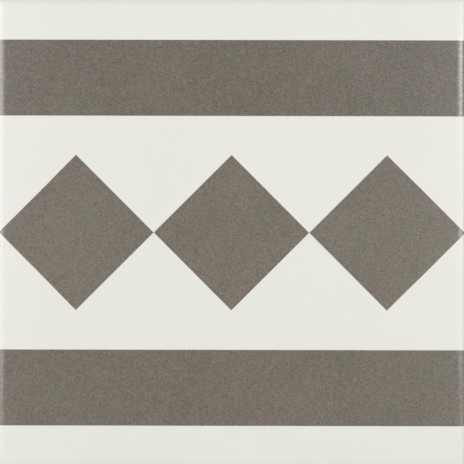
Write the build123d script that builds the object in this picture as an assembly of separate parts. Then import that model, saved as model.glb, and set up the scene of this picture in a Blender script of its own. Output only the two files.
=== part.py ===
from build123d import *

import os
from math import cos, floor, radians, sin, tan

# A square matt ceramic border tile, dry-pressed and fired as one piece. It lies on its back with its face up.
# The origin is at the middle of its back, on the plane of the ribs it rests on.
# X runs along the printed bands.

# Overall size, in millimetres
tile_length = 200.0
tile_width = 200.0
thickness = 8.5

# Rim of the face: it eases off the flat in a very wide arc, falls in a soft one, and turns down to the side
# in a tight one. Each turn is the slope, in degrees, at which its arc ends.
face_ease_radius = 14.0
face_ease_turn = 5.0
face_arc_radius = 3.6
face_arc_turn = 40.0
side_arc_radius = 1.0

# Side of the tile: an upright land below the rim, a drafted flank under it and a bevel at the back
land_height = 1.8
flank_draft = 4.0
back_bevel = 0.8
corner_radius = 1.4

# Keying relief pressed into the back: shallow rounded cells between ribs, inside a plain border
border_width = 6.0
cell_pitch = 23.0
rib_width = 4.0
cell_depth = 0.8
cell_draft = 35.0
cell_corner_radius = 2.5

# How far a tool solid runs past the tile, so that their faces don't meet
overrun = 10.0


def rim_width():
    """How far in from the side the face starts to fall."""
    ease = radians(face_ease_turn)
    turn = radians(face_arc_turn)
    ease_width = face_ease_radius * sin(ease)
    arc_width = face_arc_radius * (sin(turn) - sin(ease))
    return ease_width + arc_width + side_arc_radius * (1 - sin(turn))


def rim_drop():
    """How far below the face the side starts."""
    ease = radians(face_ease_turn)
    turn = radians(face_arc_turn)
    ease_drop = face_ease_radius * (1 - cos(ease))
    arc_drop = face_arc_radius * (cos(ease) - cos(turn))
    return ease_drop + arc_drop + side_arc_radius * cos(turn)


def land_foot():
    """The height of the land's lower edge."""
    return thickness - rim_drop() - land_height


def back_inset():
    """How far in from the land the flat of the back ends."""
    return (land_foot() - back_bevel) * tan(radians(flank_draft)) + back_bevel


def pressed_bar(span, plane, run):
    """A bar with the tile's section over one span: back, bevel, flank, land, rim and face."""
    side = span / 2
    land_top = thickness - rim_drop()
    back_edge = side - back_inset()
    ease = radians(face_ease_turn)
    ease_centre = (side - rim_width(), thickness - face_ease_radius)
    centre_gap = face_ease_radius - face_arc_radius
    arc_centre = (ease_centre[0] + centre_gap * sin(ease), ease_centre[1] + centre_gap * cos(ease))
    with BuildPart() as bar:
        with BuildSketch(plane):
            with BuildLine():
                Polyline(
                    (0, 0),
                    (back_edge, 0),
                    (back_edge + back_bevel, back_bevel),
                    (side, land_foot()),
                    (side, land_top),
                )
                CenterArc((side - side_arc_radius, land_top), side_arc_radius, 0, 90 - face_arc_turn)
                CenterArc(arc_centre, face_arc_radius, 90 - face_arc_turn, face_arc_turn - face_ease_turn)
                CenterArc(ease_centre, face_ease_radius, 90 - face_ease_turn, face_ease_turn)
                Line((side - rim_width(), thickness), (0, thickness))
                mirror(about=Plane.YZ)
            make_face()
        extrude(amount=run / 2 + overrun, both=True)
    return bar.part


def pressed_blank():
    """The tile before its relief. The same rim runs along all four sides and is mitred at the corners."""
    along = pressed_bar(tile_length, Plane.XZ, tile_width)
    across = pressed_bar(tile_width, Plane.YZ, tile_length)
    outline = extrude(RectangleRounded(tile_length, tile_width, corner_radius), amount=thickness + overrun)
    return along & across & outline


def cells_that_fit(span):
    """How many cells lie side by side within the border over one span."""
    room = span - 2 * (back_inset() + border_width)
    return floor((room + rib_width) / cell_pitch)


def keying_cells():
    """The cells of the back, each with drafted walls and rounded corners."""
    mouth = cell_pitch - rib_width
    cell = extrude(Rectangle(mouth, mouth), amount=cell_depth, taper=cell_draft)
    wall_corners = cell.edges().filter_by(Plane.XY, reverse=True)
    cell = fillet(wall_corners, cell_corner_radius)
    places = GridLocations(cell_pitch, cell_pitch, cells_that_fit(tile_length), cells_that_fit(tile_width))
    return [place * cell for place in places]


tile = pressed_blank() - keying_cells()

os.makedirs("parts", exist_ok=True)
export_step(tile, "parts/tile.step")
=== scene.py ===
from math import atan2, cos, hypot, pi, radians, sin, sqrt, tan

import bpy
import numpy as np
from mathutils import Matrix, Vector, noise


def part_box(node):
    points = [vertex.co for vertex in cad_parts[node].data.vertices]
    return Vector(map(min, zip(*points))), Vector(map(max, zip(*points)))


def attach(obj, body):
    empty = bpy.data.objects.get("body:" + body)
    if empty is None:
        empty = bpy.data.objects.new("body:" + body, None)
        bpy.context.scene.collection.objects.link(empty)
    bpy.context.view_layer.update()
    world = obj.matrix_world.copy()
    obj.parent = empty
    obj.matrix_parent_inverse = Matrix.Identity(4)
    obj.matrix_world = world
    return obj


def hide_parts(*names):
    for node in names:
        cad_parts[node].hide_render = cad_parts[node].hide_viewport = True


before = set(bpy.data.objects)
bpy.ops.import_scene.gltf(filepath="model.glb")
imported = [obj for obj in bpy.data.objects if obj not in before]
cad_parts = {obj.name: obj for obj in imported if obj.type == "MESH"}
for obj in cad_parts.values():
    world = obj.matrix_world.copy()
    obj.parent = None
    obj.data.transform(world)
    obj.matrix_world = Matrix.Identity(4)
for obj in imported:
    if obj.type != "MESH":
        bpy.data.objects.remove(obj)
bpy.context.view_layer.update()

# A matt ceramic border tile: a fired body, an off-white glaze over its face and rim, and a grey print of
# bands and diamonds under the glaze. Sizes are in millimetres and angles in degrees, unless a comment says
# otherwise. Colours are in display steps of 0 to 255.
MM = 0.001
tile_low, tile_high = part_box("tile")
half_side = (tile_high.x - tile_low.x) / 2 / MM
thickness = (tile_high.z - tile_low.z) / MM

# Rim, sides and back edge, as they are pressed
face_ease_radius = 14.0
face_ease_turn = 5.0
face_arc_radius = 3.6
face_arc_turn = 40.0
side_arc_radius = 1.0
land_height = 1.8
flank_draft = 4.0
back_bevel = 0.8
corner_radius = 1.4

# Keying cells of the back
cells_across = 8
cell_pitch = 23.0
rib_width = 4.0
cell_depth = 0.8
cell_draft = 35.0
cell_corner_radius = 2.5

# How far firing softens the pressed edges
land_foot_softness = 2.0
bevel_softness = 0.45
back_edge_softness = 0.35
rib_softness = 0.4
cell_floor_softness = 0.5

# How firing draws the surface in, in waves of three sizes with the fine ones low down, and lifts the back
fired_inset = 0.030
slow_wave = 42.0
slow_depth = 0.018
quick_wave = 7.0
quick_depth = 0.010
quick_offset = 9.0
fine_wave = 2.3
fine_depth = 0.050
fine_offset = 21.0
low_inset = 0.030
low_height = 2.0
side_share = 0.03
back_height = 1.0
back_rise = 0.04
back_depth = 0.03

# Fineness of the mesh
side_steps = 64
corner_steps = 6
cell_corner_steps = 4
rim_arc_step = 4.0
cell_arc_step = 9.0
support_gap = 0.5
weld_digits = 5

# Flat map of the surface, as shares of its width: the face and sides, a quarter of the back, and the margin
sheet_share = 0.745
quarter_share = 0.243
map_margin = 0.004

# Print: two bands and a row of diamonds, a little off the middle, turned by a hair, with drifting ends
print_shift = (0.07, -0.09)
print_turn = -0.12
band_near = 49.99
band_far = 82.46
diamond_pitch = 66.48
diamond_reach = 33.20
diamond_lift = 0.10
left_drift = 0.25
right_drift = 0.18
drift_start = 68.0
drift_end = 84.0
print_edge = 0.16

# Heights between which one finish gives way to the next, and how far that line wanders in two sizes of wave
glaze_line = (5.6, 6.0)
print_foot = (6.6, 7.2)
rim_top = (8.28, 8.43)
rib_top = (0.1, 0.35)
large_wander = 3.0
large_wander_height = 1.6
small_wander = 0.6
small_wander_height = 0.7

# Grey of the print: the size of its grains and patches, and how much each moves the tone
mid_tone = 0.5
grain_size = 0.27
grain_curve = (0.77, 0.5, 6.0)
fleck_size = 1.0
fleck_share = 0.24
cloud_size = 14.0
cloud_share = 0.16
speck_size = 0.45
speck_rise = (0.29, 0.38)
diamonds_paler = 0.07
# Painted highlight: the print is paler towards its left and right ends, in place of the sheen near the rim
ends_painted_sheen = 0.045
sheen_middle = -2.0
sheen_rise = (80.0, 97.0)
top_darker = 0.0005
tint_start = 0.48
tint_size = 5.0
tint_share = 1.9
# Painted sheen: the print's tint turns greener towards the right, in place of the cool sheen of the right
# softbox
right_sheen_tint = 0.18
right_sheen_rise = (20.0, 95.0)
dark_green = (72, 68, 56)
dark_brown = (79, 67, 59)
pale_green = (140, 136, 122)
pale_brown = (147, 134, 124)
speck_colour = (190, 184, 172)

# Off-white of the ground
ground_grain = 0.5
ground_grain_share = 0.8
ground_cloud_share = 0.8
# Painted highlight: the ground is paler towards the left edge, in place of the sheen near the rim
left_painted_highlight = 0.6
left_highlight_rise = (-97.0, -70.0)
ground_shade = (231, 230, 222)
ground_light = (235, 234, 227)

# Fired body, and the kiln wash rolled over its ribs
granule_size = 0.35
granule_detail = 3.0
granule_roughness = 0.65
granule_share = 1.6
body_patch = 9.0
body_patch_share = 0.5
pore_size = 0.4
pore_rise = (0.24, 0.33)
pore_share = 0.7
clay_dark = (186, 174, 155)
clay_pale = (216, 206, 189)
pore_colour = (120, 104, 86)
wash_stretch = (0.6, 1.0, 1.0)
wash_streak = 1.3
wash_detail = 3.0
wash_roughness = 0.7
wash_streak_share = 1.1
wash_powder = 0.4
wash_powder_share = 1.2
wash_patch = 16.0
wash_patch_share = 1.3
wash_rise = (-0.35, 0.45)
wash_cover = 0.75
wash_colour = (234, 231, 224)

# Gloss, and relief too fine for the mesh
body_roughness = 0.86
glaze_smoother = 0.42
print_smoother = 0.165
glaze_index = 1.8
grit_size = 0.55
print_relief = 0.009
rim_relief = 0.14
glaze_relief = 0.003
granule_relief = 0.06
pore_depth = 0.08

# Picture: the face fills it, seen from straight above
picture_width = 198.3
picture_centre = (0.30, 0.30)
lens_length = 200.0
sensor_width = 36.0

# Softboxes, in metres and watts: name, tilt, lean, length and width, power, and 1 above the tile or -1 below
light_distance = 1.8
softboxes = [
    ("left_softbox", -43, 12, (1.75, 0.70), 18.7, 1.0),
    ("right_softbox", 38, 12, (1.44, 0.42), 17.7, 1.0),
    ("near_fill", 0, -58, (1.3, 2.6), 10.4, 1.0),
    ("far_fill", 0, 48, (1.0, 2.6), 3.8, 1.0),
    ("under_softbox", 20, -30, (1.4, 1.4), 35.0, -1.0),
    ("under_fill", -25, 35, (1.4, 1.4), 10.0, -1.0),
]

# Surroundings, in metres. The floor's bounce is its colour for the light that it throws back at the tile.
floor_reach = 3.0
floor_fade = (0.45, 1.5)
floor_colour = (236, 236, 234)
floor_bounce = (150, 150, 148)
backdrop_colour = (232, 232, 231)
even_light = 0.05
ceiling_angles = (52.0, 34.0)


def srgb(red, green, blue):
    """A colour given in display steps, as the linear values that a shader takes."""
    steps = [channel / 255 for channel in (red, green, blue)]
    return [c / 12.92 if c <= 0.04045 else ((c + 0.055) / 1.055) ** 2.4 for c in steps] + [1.0]


def softened(corners, radii, arc_step):
    """A section's corner points with arcs in place of its inner corners, as (inset, height) points."""
    path = [corners[0]]
    for before, corner, after, radius in zip(corners, corners[1:], corners[2:], radii):
        arrive = np.subtract(corner, before) / np.linalg.norm(np.subtract(corner, before))
        leave = np.subtract(after, corner) / np.linalg.norm(np.subtract(after, corner))
        turn = atan2(arrive[0] * leave[1] - arrive[1] * leave[0], float(np.dot(arrive, leave)))
        tangent = radius * tan(abs(turn) / 2)
        across = np.array([-arrive[1], arrive[0]]) * np.sign(turn)
        start = np.array(corner) - arrive * tangent
        steps = max(1, round(abs(turn) / radians(arc_step)))
        for step in range(steps + 1):
            angle = abs(turn) * step / steps
            path.append(tuple(start + radius * (sin(angle) * arrive + (1 - cos(angle)) * across)))
    return path + [corners[-1]]


def square_ring(half, radius, sides, turns):
    """Points round a square with rounded corners: so many steps along each side and round each corner."""
    reach = half - radius
    quarter = [(-reach + 2 * reach * step / sides, -half) for step in range(sides + 1)]
    for step in range(1, turns):
        angle = pi / 2 * step / turns
        quarter.append((reach + radius * sin(angle), -reach - radius * cos(angle)))
    ring = np.array(quarter)
    rings = [ring]
    for _ in range(3):
        ring = np.stack([-ring[:, 1], ring[:, 0]], axis=1)
        rings.append(ring)
    return np.concatenate(rings)


class Skin:
    """The tile's surface as it grows: points, faces, and how far each point spreads in the flat map."""

    def __init__(self):
        self.points = []
        self.spread = []
        self.faces = []
        self.on_back = []

    def add_points(self, plan, height, spread=1.0):
        """Adds points at one height and gives their numbers."""
        first = len(self.points)
        self.points += [(x, y, height) for x, y in plan]
        self.spread += [spread] * len(plan)
        return list(range(first, len(self.points)))

    def add_face(self, face, back):
        self.faces.append(face)
        self.on_back.append(back)

    def join(self, inner, outer, back=False):
        """A strip of faces from one ring to the next: outward over the face, or inward over the back."""
        for step in range(len(inner)):
            after = (step + 1) % len(inner)
            self.add_face([inner[step], outer[step], outer[after], inner[after]], back)

    def fill(self, centre, half, height, sides, back=False):
        """A grid of faces over a square."""
        lines = [-half + 2 * half * step / sides for step in range(sides + 1)]
        plan = [(centre[0] + x, centre[1] + y) for y in lines for x in lines]
        numbers = self.add_points(plan, height)
        row = sides + 1
        for j in range(sides):
            for i in range(sides):
                a = numbers[j * row + i]
                face = [a, a + 1, a + row + 1, a + row]
                self.add_face(face[::-1] if back else face, back)

    def merged(self):
        """The points that meet made one, as (points, spreads, faces, marks of the back's faces)."""
        keys = np.round(np.array(self.points), weld_digits)
        _, first, number = np.unique(keys, axis=0, return_index=True, return_inverse=True)
        number = number.reshape(-1)
        faces, marks = [], []
        for face, back in zip(self.faces, self.on_back):
            corners = list(dict.fromkeys(int(number[point]) for point in face))
            if len(corners) > 2:
                faces.append(corners)
                marks.append(back)
        return np.array(self.points)[first], np.array(self.spread)[first], faces, marks


def side_section():
    """From the face over the rim and down the side to the back: (inset from the side, height) points."""
    ease, turn = radians(face_ease_turn), radians(face_arc_turn)
    ease_width = face_ease_radius * sin(ease)
    ease_drop = face_ease_radius * (1 - cos(ease))
    arc_width = face_arc_radius * (sin(turn) - sin(ease))
    arc_drop = face_arc_radius * (cos(ease) - cos(turn))
    arc_reach = face_arc_radius * tan((turn - ease) / 2)
    rim_width = ease_width + arc_width + side_arc_radius * (1 - sin(turn))
    rim_drop = ease_drop + arc_drop + side_arc_radius * cos(turn)
    arc_start = rim_width - ease_width
    land_foot = thickness - rim_drop - land_height
    back_inset = (land_foot - back_bevel) * tan(radians(flank_draft)) + back_bevel
    corners = [
        (rim_width + support_gap, thickness),
        (rim_width - face_ease_radius * tan(ease / 2), thickness),
        (arc_start - arc_reach * cos(ease), thickness - ease_drop - arc_reach * sin(ease)),
        (0.0, thickness - rim_drop + side_arc_radius * tan(pi / 4 - turn / 2)),
        (0.0, land_foot),
        (back_inset - back_bevel, back_bevel),
        (back_inset, 0.0),
        (back_inset + support_gap, 0.0),
    ]
    rim_arcs = [face_ease_radius, face_arc_radius, side_arc_radius]
    soft_edges = [land_foot_softness, bevel_softness, back_edge_softness]
    return softened(corners, rim_arcs + soft_edges, rim_arc_step)


def grow_sides(skin):
    """The face, the rim, the sides and the edge of the back, ring below ring. Gives the last ring."""
    section = side_section()
    face_half = half_side - section[0][0]
    skin.fill((0.0, 0.0), face_half, thickness, side_steps)
    unrolled = 0.0
    ring = None
    for place, (inset, height) in enumerate(section):
        half = half_side - inset
        if place:
            unrolled += hypot(inset - section[place - 1][0], height - section[place - 1][1])
        plan = square_ring(half, max(corner_radius - inset, 0.0), side_steps, corner_steps)
        lower = skin.add_points(plan, height, (face_half + unrolled) / half)
        if ring:
            skin.join(ring, lower)
        ring = lower
    return ring


def grow_back(skin, edge):
    """The border of the back and its cells, each a rounded pocket with soft edges."""
    block = cells_across * cell_pitch / 2
    border = skin.add_points(square_ring(block, 0.0, side_steps, corner_steps), 0.0)
    skin.join(edge, border, back=True)
    mouth = (cell_pitch - rib_width) / 2
    wall_run = cell_depth * tan(radians(cell_draft))
    floor_end = wall_run + cell_floor_softness + support_gap
    corners = [
        (-rib_softness - support_gap, 0.0),
        (0.0, 0.0),
        (wall_run, cell_depth),
        (floor_end, cell_depth),
    ]
    section = softened(corners, [rib_softness, cell_floor_softness], cell_arc_step)
    steps = side_steps // cells_across
    wall_corner = cell_corner_radius * cos(radians(cell_draft))
    floor_half = mouth - cell_corner_radius - support_gap
    middles = [(place - (cells_across - 1) / 2) * cell_pitch for place in range(cells_across)]
    for x in middles:
        for y in middles:
            rings = [(cell_pitch / 2, 0.0, 0.0)]
            rings += [(mouth - inset, wall_corner, height) for inset, height in section]
            rings.append((floor_half, 0.0, cell_depth))
            outer = None
            for half, radius, height in rings:
                plan = square_ring(half, radius, steps, cell_corner_steps) + (x, y)
                inner = skin.add_points(plan, height)
                if outer:
                    skin.join(outer, inner, back=True)
                outer = inner
            skin.fill((x, y), floor_half, cell_depth, steps, back=True)


def flat_map(points, spread, faces, marks):
    """Where each face corner lies in the flat map: face and sides as one sheet, the back in four quarters."""
    sheet_plan = points[:, :2] * spread[:, None]
    sheet_half = np.abs(sheet_plan).max()
    quarter_left = 2 * map_margin + sheet_share
    quarter_pitch = quarter_share + 1.5 * map_margin
    corners = []
    for face, back in zip(faces, marks):
        if not back:
            corners.append(map_margin + (sheet_plan[face] + sheet_half) / (2 * sheet_half) * sheet_share)
            continue
        plan = points[face, :2]
        right, upper = plan.mean(axis=0) > 0
        quarter = np.array([quarter_left, (2 * right + upper) * quarter_pitch + map_margin])
        corner = np.array([0.0 if right else -half_side, 0.0 if upper else -half_side])
        corners.append(quarter + (plan - corner) / half_side * quarter_share)
    return np.concatenate(corners)


def wave(point, size, offset=0.0):
    """Smooth noise around 0 at a point, in waves of the given size."""
    x, y, z = point / size
    return noise.noise(Vector((x, y, z + offset)))


def fired(points):
    """The pressed form as it leaves the kiln: faintly uneven, and always inward of the pressed surface."""
    moved = points.copy()
    for number, point in enumerate(points):
        x, y, z = point
        slow = wave(point, slow_wave)
        quick = wave(point, quick_wave, quick_offset)
        fine = wave(point, fine_wave, fine_offset)
        low = max(0.0, 1 - z / low_height)
        inward = fired_inset + slow_depth * slow + quick_depth * quick
        inward += low * (low_inset + fine_depth * fine)
        reach = max(abs(x), abs(y)) / half_side
        steep = max(0.0, (reach - 1 + side_share) / side_share)
        moved[number, 0] -= x / half_side * inward * steep
        moved[number, 1] -= y / half_side * inward * steep
        moved[number, 2] += back_rise + back_depth * quick if z < back_height else -inward
    return moved


def fired_tile():
    """The whole tile as one closed mesh."""
    skin = Skin()
    edge = grow_sides(skin)
    grow_back(skin, edge)
    points, spread, faces, marks = skin.merged()
    mesh = bpy.data.meshes.new("fired_tile")
    mesh.from_pydata((fired(points) * MM).tolist(), [], faces)
    corners = flat_map(points, spread, faces, marks)
    layer = mesh.uv_layers.new(name="OFBake")
    layer.data.foreach_set("uv", corners.astype(np.float32).ravel())
    mesh.polygons.foreach_set("use_smooth", [True] * len(mesh.polygons))
    mesh.update()
    piece = bpy.data.objects.new("fired_tile", mesh)
    bpy.context.scene.collection.objects.link(piece)
    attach(piece, "root")
    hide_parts("tile")
    return piece


class Wire:
    """A socket in a material's nodes. Arithmetic on it adds Math nodes."""

    def __init__(self, tree, socket=None):
        self.tree = tree
        self.socket = socket

    def node(self, kind, settings, sockets, output=0):
        """Adds a node: first its settings, then the values or links of its sockets, by name or place."""
        made = self.tree.nodes.new("ShaderNode" + kind)
        for name, setting in settings.items():
            setattr(made, name, setting)
        for name, value in sockets.items():
            if isinstance(value, Wire):
                self.tree.links.new(value.socket, made.inputs[name])
            else:
                made.inputs[name].default_value = value
        return Wire(self.tree, made.outputs[output] if made.outputs else None)

    def math(self, operation, *values):
        return self.node("Math", {"operation": operation}, dict(enumerate(values)))

    def __add__(self, other):
        return self.math("ADD", self, other)

    __radd__ = __add__

    def __sub__(self, other):
        return self.math("SUBTRACT", self, other)

    def __rsub__(self, other):
        return self.math("SUBTRACT", other, self)

    def __mul__(self, other):
        return self.math("MULTIPLY", self, other)

    __rmul__ = __mul__

    def __truediv__(self, other):
        return self.math("DIVIDE", self, other)

    def __abs__(self):
        return self.math("ABSOLUTE", self)

    def other(self, output):
        """Another output of the same node."""
        return Wire(self.tree, self.socket.node.outputs[output])

    def held(self):
        """The value kept between 0 and 1."""
        return self.node("Math", {"operation": "ADD", "use_clamp": True}, {0: self, 1: 0.0})

    def step(self, low, high):
        """0 up to the low value and 1 from the high one, with a soft rise between them."""
        return self.node(
            "MapRange",
            {"interpolation_type": "SMOOTHSTEP"},
            {"Value": self, "From Min": low, "From Max": high},
        )

    def noise(self, size, detail=2.0, rough=0.5):
        """Cloudy noise around 0, on a position in millimetres. Its patches are about the given size."""
        settings = {"noise_dimensions": "3D"}
        sockets = {"Vector": self, "Scale": 0.5 / size, "Detail": detail, "Roughness": rough}
        return self.node("TexNoise", settings, sockets) - 0.5

    def blend(self, first, second):
        """A colour between two, by this value. A Mix node's colours are its sockets 6 and 7."""
        return self.node("Mix", {"data_type": "RGBA"}, {0: self, 6: first, 7: second}, output=2)


def print_mask(x, y):
    """Where the grey is printed: 1 on the bands, and 1 on the diamonds."""
    turn = radians(print_turn)
    across = (x - print_shift[0]) * cos(turn) + (y - print_shift[1]) * sin(turn)
    up = (y - print_shift[1]) * cos(turn) - (x - print_shift[0]) * sin(turn)
    middle = (band_near + band_far) / 2
    band = (band_far - band_near) / 2 - abs(abs(up) - middle)
    drift = (1 - x.step(-drift_end, -drift_start)) * left_drift
    drift += x.step(drift_start, drift_end) * right_drift
    repeats = (across - drift) / diamond_pitch + 0.5
    from_middle = abs(repeats.math("FRACT", repeats) - 0.5) * diamond_pitch
    diamond = (diamond_reach - from_middle - abs(up - diamond_lift)) / sqrt(2)
    return [shape.step(-print_edge / 2, print_edge / 2) for shape in (band, diamond)]


def grey_print(place, x, y, grain, cloud, diamond):
    """The print's colour: grains, a tint that wanders a little and a few pale specks. The diamonds are a
    touch paler.
    A painted highlight makes the left and right ends of the print paler, and a painted sheen turns its tint
    greener to the right."""
    fleck = place.noise(fleck_size, detail=1.0)
    speck = place.noise(speck_size, detail=1.0).step(*speck_rise)
    # Painted highlight: paler towards both ends of the print
    ends = abs(x - sheen_middle).step(*sheen_rise)
    linear, square, cube = grain_curve
    grains = grain * (linear + grain * (square + grain * cube)) + fleck * fleck_share
    paler = diamond * diamonds_paler + ends * ends_painted_sheen - y * top_darker
    tone = (mid_tone + grains + cloud * cloud_share + paler).held()
    # Painted sheen: the tint turns greener towards the right
    sheen_cast = x.step(*right_sheen_rise) * right_sheen_tint
    tint = (tint_start + place.noise(tint_size) * tint_share - sheen_cast).held()
    dark = tint.blend(srgb(*dark_green), srgb(*dark_brown))
    pale = tint.blend(srgb(*pale_green), srgb(*pale_brown))
    return speck.blend(tone.blend(dark, pale), srgb(*speck_colour))


def white_ground(place, x, cloud):
    """The colour of the glaze beside the print: off-white, faintly clouded, and paler to the left with a
    painted highlight.
    """
    # Painted highlight: paler towards the left edge
    left = 1 - x.step(*left_highlight_rise)
    clouded = place.noise(ground_grain) * ground_grain_share + cloud * ground_cloud_share
    tone = (mid_tone + clouded + left * left_painted_highlight).held()
    return tone.blend(srgb(*ground_shade), srgb(*ground_light))


def clay_body(place, granule, pore, rib):
    """The colour of the bare body: grains of clay and dark pores, with white kiln wash on the ribs."""
    tone = (mid_tone + granule * granule_share + place.noise(body_patch) * body_patch_share).held()
    clay = tone.blend(srgb(*clay_dark), srgb(*clay_pale))
    clay = (pore * pore_share).blend(clay, srgb(*pore_colour))
    rolled = place.node("VectorMath", {"operation": "MULTIPLY"}, {0: place, 1: wash_stretch})
    streaks = rolled.noise(wash_streak, wash_detail, wash_roughness) * wash_streak_share
    powder = place.noise(wash_powder, detail=1.0) * wash_powder_share
    patches = place.noise(wash_patch) * wash_patch_share
    wash = (streaks + powder + patches).step(*wash_rise) * rib
    return (wash * wash_cover).blend(clay, srgb(*wash_colour))


def ceramic_material():
    """The tile's one material: print and glaze on face and rim, bare fired body on the flanks and back."""
    material = bpy.data.materials.new("matt_ceramic")
    material.use_nodes = True
    tree = material.node_tree
    tree.nodes.clear()
    start = Wire(tree)
    place = start.node("TexCoord", {}, {}, output="Object")
    place = start.node("VectorMath", {"operation": "SCALE"}, {0: place, "Scale": 1 / MM})
    x = start.node("SeparateXYZ", {}, {0: place})
    y, z = x.other("Y"), x.other("Z")

    # Where the print, the glaze and the kiln wash lie
    wander = place.noise(large_wander) * large_wander_height
    wander += place.noise(small_wander) * small_wander_height
    glaze = (z + wander).step(*glaze_line)
    band, diamond = print_mask(x, y)
    printed = (band + diamond) * (z + wander).step(*print_foot)
    rib = 1 - z.step(*rib_top)
    rim = 1 - z.step(*rim_top)

    # What they are made of
    grain = place.noise(grain_size, detail=0.0)
    grit = place.noise(grit_size, detail=1.0)
    cloud = place.noise(cloud_size)
    granule = place.noise(granule_size, granule_detail, granule_roughness)
    pore = place.noise(pore_size, detail=0.0).step(*pore_rise)
    ground = white_ground(place, x, cloud)
    face = printed.blend(ground, grey_print(place, x, y, grain, cloud, diamond))
    colour = glaze.blend(clay_body(place, granule, pore, rib), face)
    rough = body_roughness - glaze * glaze_smoother - printed * print_smoother
    on_print = printed * grit * (print_relief + rim * rim_relief)
    on_ground = (1 - printed) * glaze * grain * glaze_relief
    on_body = (1 - glaze) * (granule * granule_relief - pore * pore_depth)
    relief = on_print + on_ground + on_body
    normal = start.node("Bump", {}, {"Strength": 1.0, "Distance": MM, "Height": relief})
    shader = start.node(
        "BsdfPrincipled",
        {},
        {"Base Color": colour, "Roughness": rough, "Normal": normal, "IOR": glaze_index},
    )
    start.node("OutputMaterial", {}, {"Surface": shader})
    return material


def seen_by_camera(start, mirrored=1.0):
    """1 for what the camera sees, and 0 for the light all round. What it sees mirrored or through something
    counts by a share."""
    camera = start.node("LightPath", {}, {}, output="Is Camera Ray")
    through = camera.other("Is Glossy Ray") + camera.other("Is Transmission Ray")
    return (camera + through * mirrored).held()


def pale_floor():
    """The pale surface under the tile. It fades into the backdrop far off, and is seen from above only."""
    mesh = bpy.data.meshes.new("floor")
    signs = [(-1, -1), (1, -1), (1, 1), (-1, 1)]
    mesh.from_pydata([(x * floor_reach, y * floor_reach, 0.0) for x, y in signs], [], [(0, 1, 2, 3)])
    floor = bpy.data.objects.new("floor", mesh)
    bpy.context.scene.collection.objects.link(floor)
    material = bpy.data.materials.new("pale_floor")
    material.use_nodes = True
    tree = material.node_tree
    tree.nodes.clear()
    start = Wire(tree)
    seen = seen_by_camera(start)
    place = start.node("TexCoord", {}, {}, output="Object")
    distance = start.node("VectorMath", {"operation": "LENGTH"}, {0: place}, output="Value")
    dim_paint = start.node("BsdfDiffuse", {}, {"Color": srgb(*floor_bounce)})
    pale_paint = start.node("BsdfDiffuse", {}, {"Color": srgb(*floor_colour)})
    paint = start.node("MixShader", {}, {0: seen, 1: dim_paint, 2: pale_paint})
    backdrop = start.node("Emission", {}, {"Color": srgb(*backdrop_colour)})
    surface = start.node("MixShader", {}, {0: seen * distance.step(*floor_fade), 1: paint, 2: backdrop})
    clear = start.node("BsdfTransparent", {}, {})
    below = start.node("NewGeometry", {}, {}, output="Backfacing")
    shader = start.node("MixShader", {}, {0: below, 1: surface, 2: clear})
    start.node("OutputMaterial", {}, {"Surface": shader})
    mesh.materials.append(material)
    floor.visible_shadow = False


def soft_light(name, tilt, lean, size, watts, side):
    """A softbox that faces the tile, tilted to the right and leaning to the face's top edge."""
    away = Vector((tan(radians(tilt)), tan(radians(lean)), side)).normalized()
    lamp = bpy.data.lights.new(name, "AREA")
    lamp.shape = "RECTANGLE"
    lamp.size, lamp.size_y = size
    lamp.energy = watts
    light = bpy.data.objects.new(name, lamp)
    light.location = away * light_distance
    light.rotation_mode = "QUATERNION"
    light.rotation_quaternion = away.to_track_quat("Z", "X")
    light.visible_camera = False
    bpy.context.scene.collection.objects.link(light)


def studio_world():
    """Faint even light from all round, and a pale backdrop that isn't mirrored from overhead."""
    world = bpy.data.worlds.new("studio")
    world.use_nodes = True
    tree = world.node_tree
    tree.nodes.clear()
    start = Wire(tree)
    even = start.node("Background", {}, {"Color": (1, 1, 1, 1), "Strength": even_light})
    backdrop = start.node("Background", {}, {"Color": srgb(*backdrop_colour)})
    direction = start.node("TexCoord", {}, {}, output="Generated")
    height = start.node("SeparateXYZ", {}, {0: direction}, output="Z")
    overhead = height.step(*[cos(radians(angle)) for angle in ceiling_angles])
    shader = start.node("MixShader", {}, {0: seen_by_camera(start, 1 - overhead), 1: even, 2: backdrop})
    start.node("OutputWorld", {}, {"Surface": shader})
    bpy.context.scene.world = world


def studio():
    """The softboxes, the world round them and the camera above the face."""
    for softbox in softboxes:
        soft_light(*softbox)
    studio_world()
    data = bpy.data.cameras.new("camera")
    data.lens = lens_length
    data.sensor_width = sensor_width
    camera = bpy.data.objects.new("camera", data)
    distance = picture_width * lens_length / sensor_width
    camera.location = Vector((*picture_centre, thickness + distance)) * MM
    bpy.context.scene.collection.objects.link(camera)
    bpy.context.scene.camera = camera
    bpy.context.scene.view_settings.view_transform = "Standard"


tile = fired_tile()
tile.data.materials.append(ceramic_material())
pale_floor()
studio()
